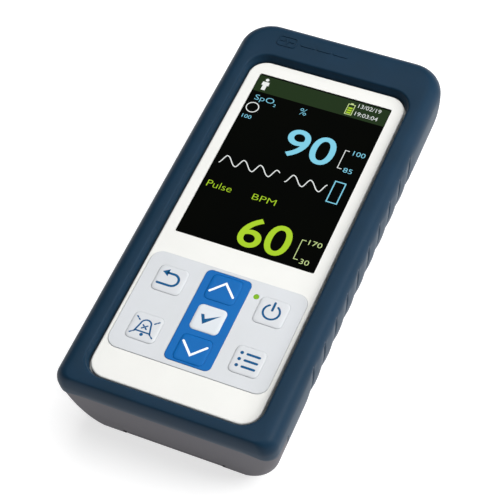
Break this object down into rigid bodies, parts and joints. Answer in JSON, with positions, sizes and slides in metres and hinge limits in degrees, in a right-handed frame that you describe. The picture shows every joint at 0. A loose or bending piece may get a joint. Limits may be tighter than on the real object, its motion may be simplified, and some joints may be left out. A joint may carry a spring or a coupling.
{
  "type": "handheld patient monitor",
  "caption": "Handheld pulse-oximeter patient monitor with a colour screen and key panel, in a ribbed rubber protective boot.",
  "frame": {"origin": "centre of the underside of the bounding box, on the boot's flat back", "axes": "the monitor lies on its back: +X to the right of the screen, +Y towards the sensor socket end, +Z out of the screen"},
  "size_m": [0.0756, 0.164, 0.0328],
  "materials": {
    "boot_rubber": "satin moulded rubber, fine sandblast grain",
    "white_plastic": "smooth moulded white plastic",
    "grey_plastic": "matt warm grey moulded plastic, spark-eroded grain",
    "gasket_rubber": "matt black rubber",
    "screen_window": "clear acrylic over a lit black screen",
    "lcd_black": "glossy black",
    "black_plastic": "matt black",
    "flex_amber": "amber polyimide film",
    "panel_grey": "satin pale grey film",
    "nav_blue": "satin bright blue film",
    "key_white": "satin white film",
    "tin": "tinned sheet",
    "led_green": "lit green light pipe",
    "board_green": "green solder mask",
    "socket_blue": "matt blue insulator",
    "flap_rubber": "matt dark grey rubber",
    "cell_wrap": "printed plastic sleeve on a metal can",
    "spring_steel": "bright zinc plate",
    "label_silver": "blank silver film"
  },
  "bodies": {
    "monitor": {"boot": "boot_rubber", "front_case": "white_plastic", "rear_case": "grey_plastic", "case_gasket": "gasket_rubber", "display_lens": "screen_window", "lcd_panel": "lcd_black", "lcd_frame": "black_plastic", "display_flex": "flex_amber", "keypad_overlay": "panel_grey", "nav_strip": "nav_blue", "switch_return": "tin", "switch_silence": "tin", "switch_power": "tin", "switch_menu": "tin", "switch_up": "tin", "switch_ok": "tin", "switch_down": "tin", "led_light_pipe": "led_green", "main_board": "board_green", "shield_can": "tin", "connector_board": "board_green", "speaker": "black_plastic", "sensor_socket_shell": "tin", "sensor_socket_insert": "socket_blue", "usb_socket": "tin", "battery_tray": "black_plastic", "battery_cell_1": "cell_wrap", "battery_cell_2": "cell_wrap", "battery_cell_3": "cell_wrap", "battery_cell_4": "cell_wrap", "battery_spring_1": "spring_steel", "battery_spring_2": "spring_steel", "contact_terminal_1": "tin", "contact_terminal_2": "tin", "contact_bridge": "tin", "case_screw_1": "spring_steel", "case_screw_2": "spring_steel", "case_screw_3": "spring_steel", "case_screw_4": "spring_steel", "board_screw_1": "spring_steel", "board_screw_2": "spring_steel"},
    "return_key": {"key_return": "panel_grey"},
    "silence_key": {"key_silence": "panel_grey"},
    "power_key": {"key_power": "panel_grey"},
    "menu_key": {"key_menu": "panel_grey"},
    "up_key": {"key_up": "nav_blue"},
    "ok_key": {"key_ok": "key_white"},
    "down_key": {"key_down": "nav_blue"},
    "door": {"battery_door": "grey_plastic", "rating_label": "label_silver"},
    "flap": {"usb_flap": "flap_rubber"}
  },
  "joints": [
    {"name": "return_key_press", "type": "slide", "parent": "monitor", "child": "return_key", "axis": [0, 0, -1], "range_m": [0, 0.0007], "stiffness_N_per_m": 500},
    {"name": "silence_key_press", "type": "slide", "parent": "monitor", "child": "silence_key", "axis": [0, 0, -1], "range_m": [0, 0.0007], "stiffness_N_per_m": 500},
    {"name": "power_key_press", "type": "slide", "parent": "monitor", "child": "power_key", "axis": [0, 0, -1], "range_m": [0, 0.0007], "stiffness_N_per_m": 500},
    {"name": "menu_key_press", "type": "slide", "parent": "monitor", "child": "menu_key", "axis": [0, 0, -1], "range_m": [0, 0.0007], "stiffness_N_per_m": 500},
    {"name": "up_key_press", "type": "slide", "parent": "monitor", "child": "up_key", "axis": [0, 0, -1], "range_m": [0, 0.0007], "stiffness_N_per_m": 500},
    {"name": "ok_key_press", "type": "slide", "parent": "monitor", "child": "ok_key", "axis": [0, 0, -1], "range_m": [0, 0.0007], "stiffness_N_per_m": 500},
    {"name": "down_key_press", "type": "slide", "parent": "monitor", "child": "down_key", "axis": [0, 0, -1], "range_m": [0, 0.0007], "stiffness_N_per_m": 500},
    {"name": "battery_door_slide", "type": "slide", "parent": "monitor", "child": "door", "axis": [0, -1, 0], "range_m": [0, 0.116]},
    {"name": "flap_hinge", "type": "hinge", "parent": "monitor", "child": "flap", "pos_m": [0.01635, 0.0799, 0.0096], "axis": [-1, 0, 0], "range_deg": [0, 100], "stiffness_Nm_per_rad": 0.001}
  ]
}
